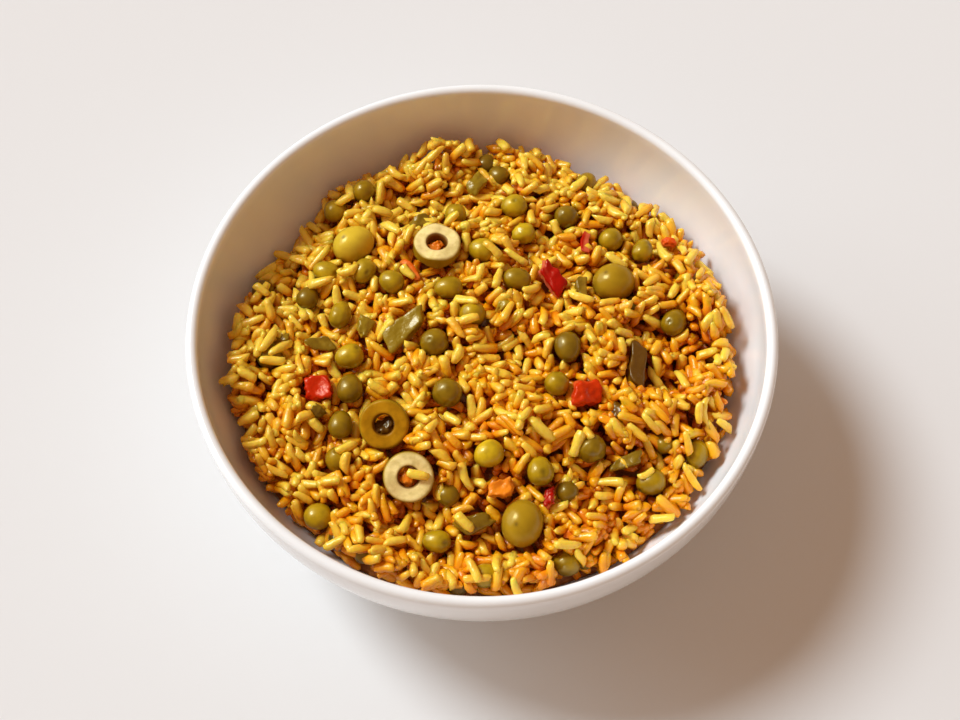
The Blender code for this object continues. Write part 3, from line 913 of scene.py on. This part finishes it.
# The darkest, most orange stops are reached through the painted shade in the tone.
gold = ramp(rice_finish, mark(rice_finish, "tone"), [
    (0.0, (0.50, 0.085, 0.001)), (0.3, (0.80, 0.235, 0.002)),
    (0.6, (0.95, 0.43, 0.005)), (1.0, (0.98, 0.67, 0.07)),
])
stain = ramp(rice_finish, speckle(rice_finish, 150, 4), [(0.34, (0.92, 0.74, 0.5)), (0.5, (1, 1, 1))])
feed(rice_finish, blend(rice_finish, 1.0, gold, stain, "MULTIPLY"), "Base Color")
bump(rice_finish, speckle(rice_finish, 850, 3), 0.7, 0.4 * MM)
top_mesh = lay_out("rice_grains", whole_shape, "whole")
low_mesh = lay_out("rice_low_grains", plain_shape, "plain")
top_rice = add_piece("rice_grains", top_mesh, rice_finish)
low_rice = add_piece("rice_low_grains", low_mesh, rice_finish)
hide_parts("rice")
print("rice has", len(top_rice.data.polygons), "and", len(low_rice.data.polygons), "faces")

# %% [markdown]
# ## Reading a topping's place
#
# Each topping keeps the place, size and turn of its solid. The solid's corners tell them: their
# mean is the middle, and the directions in which they spread most are its axes.

# %% Frame of a topping
def frame_of(name):
    """Middle, axes as rows from the longest to the shortest, and half sizes of a node."""
    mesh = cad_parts[name].data
    corners = np.unique(np.round([vertex.co[:] for vertex in mesh.vertices], 7), axis=0)
    middle = (corners.max(axis=0) + corners.min(axis=0)) / 2
    spread = np.linalg.eigh(np.cov((corners - middle).T))[1]
    axes = spread.T[::-1].copy()
    if axes[2][2] < 0:
        axes[2] *= -1
    if np.linalg.det(axes) < 0:
        axes[1] *= -1
    reach = (corners - middle) @ axes.T
    middle = middle + (reach.max(axis=0) + reach.min(axis=0)) / 2 @ axes
    return middle, axes, (reach.max(axis=0) - reach.min(axis=0)) / 2


def nodes_named(start):
    """The names of the frame's nodes that start with a word."""
    return sorted(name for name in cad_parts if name.startswith(start))


print("olive_1 half sizes in mm:", [round(float(v) / MM, 1) for v in frame_of("olive_1")[2]])

# %% [markdown]
# ## Pigeon peas
#
# A cooked pigeon pea is a slightly squashed egg about 9 mm long. Its thin, wet skin has a small
# scar where it hung in its pod, and wrinkles on some peas. A fine ball takes these as shallow
# moves of its vertices, so they also catch the light at the edges. The lower side of each pea,
# low down in the rice, is painted darker as shade. Some peas have no solid of their own, since
# they are half buried: x, y and width in mm.

# %% Shape of the peas
bm = bmesh.new()
bmesh.ops.create_icosphere(bm, subdivisions=4, radius=1)
ball_mesh = mesh_of("ball", bm)
ball = np.array([vertex.co[:] for vertex in ball_mesh.vertices])
HALF_BURIED = (
    (5.5, 66, 6.5), (48, 55.5, 7.5), (1.5, 72, 7), (9, -29.5, 7), (66, 27.5, 7.5),
    (-55.5, 19, 7), (-35, -65, 7), (-10, -48.5, 7), (55.5, -31, 6), (30.5, -66, 7), (-75, -3, 7),
    (48, 16, 7), (25.5, -47.5, 6.5), (-42.5, -61, 6.5), (-7, -74, 7),
)
TONES = {
    "pea_01": 0.1, "pea_02": 0.8, "pea_05": 0.75, "pea_06": 0.3, "pea_09": 0.7, "pea_10": 0.65,
    "pea_11": 0.55, "pea_14": 0.8, "pea_15": 0.8, "pea_16": 0.4, "pea_17": 1.0, "pea_18": 0.25,
    "pea_21": 0.6, "pea_22": 0.4, "pea_23": 0.35, "pea_24": 0.45, "pea_26": 0.2, "pea_28": 0.35,
    "pea_30": 1.0, "pea_31": 0.65, "pea_34": 0.7, "pea_35": 0.75, "pea_38": 0.5,
}
BURIED_RISE = 1.8 * MM
EGG = 0.12
SMOOTH = 0.014
WRINKLED = {
    "pea_21": 0.05, "pea_03": 0.035, "pea_17": 0.05, "pea_32": 0.045, "pea_36": 0.03, "pea_29": 0.02,
}
PEA_SCAR = 0.28


def pea_places(middle, axes, half, wrinkle):
    """The vertices of one pea, and how dark it is at each: its scar and wrinkles, and painted shade on
    its lower side.
    """
    scar = np.array([rng.uniform(-1, 1), rng.uniform(-1, 1), rng.uniform(-0.3, 0.7)])
    scar /= np.linalg.norm(scar)
    near = np.arccos(np.clip(ball @ scar, -1, 1)) / PEA_SCAR
    radius = 1 + 0.03 * waves(ball, 2.2, 4) + wrinkle * np.abs(waves(ball, 7, 5)) - wrinkle * 0.6
    radius += 0.045 * np.exp(-((near - 1) / 0.4) ** 2) - 0.07 * np.exp(-near ** 2)
    squarish = np.linalg.norm(np.abs(ball) ** 1.15, axis=1) ** -0.35
    shade = np.exp(-(near / 0.8) ** 2) + wrinkle * 4 * np.abs(waves(ball, 7, 5))
    # Painted shade: the lower side of the pea is marked darker.
    shade += 1.1 * np.clip(0.7 - (ball @ axes)[:, 2], 0, 1)
    egg = np.stack((np.ones(len(ball)), 1 - EGG * ball[:, 0], 1 - EGG * ball[:, 0]), axis=1)
    return middle + (ball * egg * (radius * squarish)[:, None] * half) @ axes, shade


# %% Peas
places, shades, tones = [], [], []
for name in nodes_named("pea_"):
    spots, shade = pea_places(*frame_of(name), WRINKLED.get(name, SMOOTH))
    places.append(spots)
    shades.append(shade)
    tones.append(np.full(len(ball), TONES.get(name, rng.uniform(0.3, 0.7))))
for x, y, width in HALF_BURIED:
    half = np.array((width * 0.54, width * 0.5, width * 0.46)) * MM
    middle = np.array((x * MM, y * MM, mound_at(x * MM, y * MM) + BURIED_RISE - half[2]))
    turn = rng.uniform(0, math.pi)
    ahead, aside = math.cos(turn), math.sin(turn)
    axes = np.array(((ahead, aside, 0), (-aside, ahead, 0), (0, 0, 1)))
    spots, shade = pea_places(middle, axes, half, 0.01)
    places.append(spots)
    shades.append(shade)
    tones.append(np.full(len(ball), rng.uniform(0.0, 0.4)))
pea_marks = {"shade": np.array(shades), "tone": np.array(tones)}
pea_mesh = joined("pigeon_peas", ball_mesh, np.array(places), pea_marks)
print("peas:", len(places))

# %% Pea skin
pea_finish = new_finish("pea_skin", {
    "Roughness": 0.34, "Specular IOR Level": 0.6, "Specular Tint": (1.0, 0.86, 0.36, 1),
    "Coat Weight": 0.25, "Coat Roughness": 0.1,
})
green = ramp(pea_finish, mark(pea_finish, "tone"), [
    (0.0, (0.12, 0.056, 0.001)), (0.5, (0.36, 0.21, 0.001)), (1.0, (0.66, 0.44, 0.008)),
])
mottle = ramp(pea_finish, speckle(pea_finish, 260, 3), [
    (0.3, (0.70, 0.66, 0.6)), (0.65, (1.14, 1.12, 1.0)),
])
skin = blend(pea_finish, 1.0, green, mottle, "MULTIPLY")
# The scar, the wrinkles and the painted shade of the lower side mix the skin towards dark brown.
dark = add_node(pea_finish, "ShaderNodeMath", {
    0: mark(pea_finish, "shade"), 1: 0.6,
}, operation="MULTIPLY").outputs[0]
feed(pea_finish, blend(pea_finish, dark, skin, (0.06, 0.036, 0.001, 1)), "Base Color")
bump(pea_finish, speckle(pea_finish, 500, 2), 0.12, 0.3 * MM)
peas = add_piece("pigeon_peas", pea_mesh, pea_finish)
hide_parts(*nodes_named("pea_"))
print("peas have", len(peas.data.polygons), "faces")

# %% [markdown]
# ## Whole olives
#
# The green olives are eggs of about 14 mm, yellower and smoother than the peas, with a small
# stem scar, and the side that lies in the rice is painted darker as shade. They are made as the
# peas are, from a finer ball, because a coarse one would show its corners at this size.

# %% Shape of the olives
bm = bmesh.new()
bmesh.ops.create_icosphere(bm, subdivisions=5, radius=1)
fine_mesh = mesh_of("fine_ball", bm)
fine = np.array([vertex.co[:] for vertex in fine_mesh.vertices])
OLIVE_SCAR = 0.12
OLIVE_TONES = {"olive_1": 0.8, "olive_2": 0.16, "olive_3": 0.16}
places, olive_scars_and_shades, tones = [], [], []
for name, tone in OLIVE_TONES.items():
    middle, axes, half = frame_of(name)
    scar = np.array((0.35, -0.25, 0.9))
    near = np.arccos(np.clip(fine @ (scar / np.linalg.norm(scar)), -1, 1)) / OLIVE_SCAR
    radius = 1 + 0.014 * waves(fine, 2.5, 4) + 0.006 * waves(fine, 9, 6) - 0.012 * np.exp(-near ** 2)
    places.append(middle + (fine * radius[:, None] * half) @ axes)
    # Painted shade: the lower side of each olive is marked darker.
    low = np.clip(0.6 - (fine @ axes)[:, 2], 0, 1)
    olive_scars_and_shades.append(np.exp(-(near / 0.8) ** 2) + 0.75 * low)
    tones.append(np.full(len(fine), tone))
olive_marks = {"dark": np.array(olive_scars_and_shades), "tone": np.array(tones)}
olive_mesh = joined("whole_olives", fine_mesh, np.array(places), olive_marks)
print("olives:", len(places))

# %% Olive skin
olive_finish = new_finish("olive_skin", {
    "Roughness": 0.25, "Subsurface Weight": 0.12, "Subsurface Radius": (0.9, 0.7, 0.15),
    "Subsurface Scale": 1.6 * MM, "Specular IOR Level": 0.5, "Specular Tint": (1.0, 0.86, 0.4, 1),
})
green = ramp(olive_finish, mark(olive_finish, "tone"), [
    (0.0, (0.30, 0.150, 0.001)), (1.0, (0.82, 0.57, 0.045)),
])
mottle = ramp(olive_finish, speckle(olive_finish, 130, 4), [
    (0.3, (0.84, 0.80, 0.7)), (0.65, (1.1, 1.12, 1.0)),
])
green = blend(olive_finish, 1.0, green, mottle, "MULTIPLY")
# The stem scar and the painted shade of the lower side mix the skin towards dark brown.
skin = blend(olive_finish, mark(olive_finish, "dark"), green, (0.17, 0.09, 0.004, 1))
feed(olive_finish, skin, "Base Color")
bump(olive_finish, speckle(olive_finish, 240, 3), 0.2, 0.5 * MM)
olives = add_piece("whole_olives", olive_mesh, olive_finish)
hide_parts(*OLIVE_TONES)
print("olives have", len(olives.data.polygons), "faces")

# %% [markdown]
# ## Olive rings
#
# A slice of a stoned olive is a thick ring: pale flesh on the cut face, a thin green skin round
# it, and a ragged hole that held the stuffing. A torus has no flat faces, so the ring's own
# section is turned, and then every copy is made a little uneven.

# %% Section of a ring
RING_HOLE = 0.44
RING_STEPS = 64
ring_section = [
    (RING_HOLE, 0.86), (RING_HOLE + 0.05, 1.0), (0.62, 0.97), (0.80, 1.0), (0.93, 0.96),
    (0.985, 0.6), (1.0, 0.0), (0.985, -0.6), (0.93, -0.96), (0.7, -1.0),
    (RING_HOLE + 0.05, -1.0), (RING_HOLE - 0.02, -0.5), (RING_HOLE - 0.04, 0.2),
]
bm = bmesh.new()
points = [bm.verts.new((out, 0, up)) for out, up in ring_section]
for one, other in zip(points, points[1:] + points[:1]):
    bm.edges.new((one, other))
bmesh.ops.spin(
    bm, geom=bm.verts[:] + bm.edges[:], cent=(0, 0, 0), axis=(0, 0, 1), angle=2 * math.pi,
    steps=RING_STEPS, use_merge=True,
)
bmesh.ops.remove_doubles(bm, verts=bm.verts, dist=0.001)
bmesh.ops.recalc_face_normals(bm, faces=bm.faces)
bmesh.ops.subdivide_edges(bm, edges=bm.edges, cuts=1, use_grid_fill=True, smooth=0.6)
ring_mesh = mesh_of("ring", bm)
ring = np.array([vertex.co[:] for vertex in ring_mesh.vertices])
print("a ring has", len(ring_mesh.polygons), "faces")

# %% Three rings
RING_PALENESS = (0.95, 0.0, 0.95)
places, rinds, holes, palenesses = [], [], [], []
for name, pale in zip(nodes_named("olive_slice_"), RING_PALENESS):
    middle, axes, half = frame_of(name)
    out = np.hypot(ring[:, 0], ring[:, 1])
    ragged = 1 + 0.035 * waves(ring * (1, 1, 0), 5, 4) * (1.2 - out) + 0.012 * waves(ring, 3, 3)
    shaped = ring * ragged[:, None]
    shaped[:, 2] += 0.10 * waves(ring * (1, 1, 0), 6, 4) * np.sign(ring[:, 2])
    places.append(middle + (shaped * half) @ axes)
    rinds.append(np.clip((out - 0.91) / 0.06, 0, 1))
    holes.append(np.clip((RING_HOLE + 0.06 - out) / 0.08, 0, 1))
    palenesses.append(np.full(len(ring), pale))
rings_mesh = joined("olive_rings", ring_mesh, np.array(places), {
    "rind": np.array(rinds), "hole": np.array(holes), "pale": np.array(palenesses),
})
print("rings:", len(places))

# %% Olive flesh
ring_finish = new_finish("olive_flesh", {
    "Roughness": 0.3, "Subsurface Weight": 0.08, "Subsurface Radius": (1.0, 0.8, 0.3),
    "Subsurface Scale": 1.2 * MM, "Specular IOR Level": 0.2, "Specular Tint": (1.0, 0.86, 0.4, 1),
})
flesh = blend(ring_finish, mark(ring_finish, "pale"), (0.47, 0.215, 0.005, 1), (0.98, 0.79, 0.34, 1))
mottle = ramp(ring_finish, speckle(ring_finish, 420, 3), [
    (0.35, (0.82, 0.80, 0.70)), (0.6, (1.05, 1.05, 1.05)),
])
flesh = blend(ring_finish, 1.0, flesh, mottle, "MULTIPLY")
flesh = blend(ring_finish, mark(ring_finish, "rind"), flesh, (0.34, 0.20, 0.006, 1))
flesh = blend(ring_finish, mark(ring_finish, "hole"), flesh, (0.20, 0.07, 0.006, 1))
feed(ring_finish, flesh, "Base Color")
bump(ring_finish, speckle(ring_finish, 650, 3), 0.3, 0.3 * MM)
rings = add_piece("olive_rings", rings_mesh, ring_finish)
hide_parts(*nodes_named("olive_slice_"))
print("rings have", len(rings.data.polygons), "faces")

# %% [markdown]
# ## Diced pepper
#
# The dice of red and green pepper are cooked soft: blocks with rounded corners, wrinkled skin
# on one side and wet flesh on the others. A finely divided cube is rounded and crumpled, and
# marks on its vertices tell skin from flesh and give each piece its own tone. Small bits lie
# between the grains, and what is left of the stuffing lies in the holes of the first and third
# olive rings. In the second ring's hole a dark bit of green pepper, sunk low, stands for the
# shade of the hollow: painted shade.

# %% Shape of a dice
DICE_CUTS = 13
DICE_POWER = 7.0
SKEW = 0.3
BIT_TILT = 0.4
BIT_CRUMPLE = 0.2
bm = bmesh.new()
bmesh.ops.create_cube(bm, size=2)
bmesh.ops.subdivide_edges(bm, edges=bm.edges, cuts=DICE_CUTS, use_grid_fill=True)
dice_mesh = mesh_of("dice", bm)
dice = np.array([vertex.co[:] for vertex in dice_mesh.vertices])
dice /= np.sum(np.abs(dice) ** DICE_POWER, axis=1, keepdims=True) ** (1 / DICE_POWER)


def dice_places(middle, axes, half, crumple):
    """The vertices of one piece of pepper, and how much of its skin shows at each."""
    real = dice * half / half[0]
    folds = 1 - np.abs(waves(real, 5, 4))
    dents = 0.8 * waves(real, 2.6, 4) + 0.6 * folds
    dents = dents + 0.4 * waves(real, 11, 6) + 0.15 * waves(real, 19, 6)
    shaped = dice * (1 + crumple * (dents - dents.mean()))[:, None]
    lean, narrow = rng.uniform(-SKEW, SKEW, 2)
    shaped[:, 0] += lean * shaped[:, 1]
    shaped[:, 1] *= 1 - narrow * shaped[:, 0]
    shaped[:, :2] *= 0.95
    shaped[:, 2] += crumple * (2 * waves(real * (1, 1, 0), 3.5, 3) - 1.5 * (shaped[:, 0] ** 2 - 0.4))
    skin = np.clip(shaped[:, 2] * 1.6 + 0.4 * waves(dice, 4, 3), 0, 1)
    return middle + (shaped * half) @ axes, skin


def add_dice(name, pieces, bits, finish):
    """One mesh with the pieces that stand for nodes, and with small bits at places in mm."""
    places, skins, tones = [], [], []
    for node, (tone, crumple) in pieces.items():
        spots, skin = dice_places(*frame_of(node), crumple)
        places.append(spots)
        skins.append(skin)
        tones.append(np.full(len(dice), tone))
    for x, y, size, heading, tone, rise in bits:
        tilt = Matrix.Rotation(rng.uniform(-BIT_TILT, BIT_TILT), 3, "X")
        turn = Matrix.Rotation(math.radians(heading), 3, "Z") @ tilt
        middle = np.array((x * MM, y * MM, mound_at(x * MM, y * MM) + rise * MM))
        half = np.array((size * 0.5, size * 0.34, size * 0.22)) * MM
        spots, skin = dice_places(middle, np.array(turn.transposed()), half, BIT_CRUMPLE)
        places.append(spots)
        skins.append(skin)
        tones.append(np.full(len(dice), tone))
    mesh = joined(name, dice_mesh, np.array(places), {"skin": np.array(skins), "tone": np.array(tones)})
    return add_piece(name, mesh, finish)


print("a dice has", len(dice_mesh.polygons), "faces")

# %% [markdown]
# Each piece that stands for a solid has a tone and a crumple. Each small bit has x, y and size
# in mm, a heading, a tone, and how high it lies over the mound. The skin of a piece is deep and
# even in colour, and its flesh is paler. Both follow the tone, so that some red pieces turn
# orange and some green ones yellow, as pepper does in hot oil.

# %% Pieces and bits of pepper
RED_PIECES = {
    "red_pepper_1": (0.4, 0.14), "red_pepper_2": (0.75, 0.12), "red_pepper_3": (0.0, 0.12),
    "red_pepper_4": (0.45, 0.15), "red_pepper_5": (0.1, 0.12), "red_pepper_6": (1.0, 0.16),
}
RED_BITS = (
    (14, 59, 5, 20, 1.0, 0.9), (26, -61, 3.5, 60, 0.9, 0.6), (20, -50.5, 5, 100, 0.0, 0.8),
    (41, -11, 4, 30, 0.8, 0.4), (60.5, 40.5, 4, 0, 0.6, 0.6), (-20, 8, 3.5, 10, 1.0, 0.3),
)
STUFFING = {"olive_slice_1": (4.6, 40, 0.9, -0.3), "olive_slice_3": (5.2, 70, 1.0, 0.1)}
GREEN_PIECES = {
    "green_pepper_1": (0.7, 0.11), "green_pepper_2": (0.7, 0.14), "green_pepper_3": (0.5, 0.16),
    "green_pepper_4": (0.4, 0.16), "green_pepper_5": (0.0, 0.16), "green_pepper_6": (0.5, 0.12),
    "green_pepper_7": (0.35, 0.12), "green_pepper_8": (0.7, 0.16),
}
GREEN_BITS = (
    (-20.5, 45.5, 7, 20, 0.5, 0.6), (7.5, 14, 7, 75, 1.0, 1.0), (39, 1, 5.5, 30, 0.2, 0.6),
    (-51.5, -22.5, 5.5, 40, 0.4, 0.8), (41.5, -22.5, 6, 80, 0.1, 0.6), (-63, 4, 5, 10, 0.6, 0.6),
)
# Painted shade: a dark bit sunk into the second ring's hole darkens the hollow.
HOLE_SHADE_BIT = ("olive_slice_2", (6.4, 20, 0.0, -1.7))


def in_ring(node, facts):
    """A bit that lies in the hole of a ring, a rise above the ring's middle."""
    size, heading, tone, rise = facts
    x, y, z = frame_of(node)[0] / MM
    return x, y, size, heading, tone, z - mound_at(x * MM, y * MM) / MM + rise


stuffing = tuple(in_ring(node, facts) for node, facts in STUFFING.items())
print("bits of pepper:", len(RED_BITS) + len(GREEN_BITS), "and in the rings:", len(stuffing) + 1)

# %% Red pepper
red_finish = new_finish("red_pepper", {
    "Roughness": 0.27, "Subsurface Weight": 0.12, "Subsurface Radius": (1.0, 0.15, 0.05),
    "Subsurface Scale": 1.0 * MM, "Specular IOR Level": 0.35, "Specular Tint": (1.0, 0.6, 0.35, 1),
    "Coat Weight": 0.08, "Coat Roughness": 0.12,
})
skin = ramp(red_finish, mark(red_finish, "tone"), [
    (0.0, (0.42, 0.003, 0.001)), (0.4, (0.60, 0.020, 0.001)),
    (0.7, (0.74, 0.10, 0.003)), (1.0, (0.88, 0.25, 0.01)),
])
flesh = ramp(red_finish, mark(red_finish, "tone"), [
    (0.0, (0.70, 0.14, 0.06)), (0.4, (0.72, 0.07, 0.015)), (1.0, (0.86, 0.28, 0.03)),
])
feed(red_finish, blend(red_finish, mark(red_finish, "skin"), flesh, skin), "Base Color")
bump(red_finish, speckle(red_finish, 700, 3), 0.5, 0.5 * MM)
red = add_dice("red_pepper_dice", RED_PIECES, RED_BITS + stuffing, red_finish)
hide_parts(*RED_PIECES)
print("red pepper has", len(red.data.polygons), "faces")

# %% Green pepper
green_finish = new_finish("green_pepper", {
    "Roughness": 0.3, "Specular IOR Level": 0.5, "Specular Tint": (1.0, 0.88, 0.5, 1),
    "Coat Weight": 0.3, "Coat Roughness": 0.14,
})
skin = ramp(green_finish, mark(green_finish, "tone"), [
    (0.0, (0.12, 0.045, 0.001)), (0.5, (0.24, 0.135, 0.002)), (1.0, (0.38, 0.25, 0.01)),
])
flesh = ramp(green_finish, mark(green_finish, "tone"), [
    (0.0, (0.26, 0.12, 0.003)), (1.0, (0.52, 0.34, 0.02)),
])
feed(green_finish, blend(green_finish, mark(green_finish, "skin"), flesh, skin), "Base Color")
bump(green_finish, speckle(green_finish, 750, 3), 0.55, 0.5 * MM)
green_bits = GREEN_BITS + (in_ring(*HOLE_SHADE_BIT),)
green = add_dice("green_pepper_dice", GREEN_PIECES, green_bits, green_finish)
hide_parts(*GREEN_PIECES)
print("green pepper has", len(green.data.polygons), "faces")
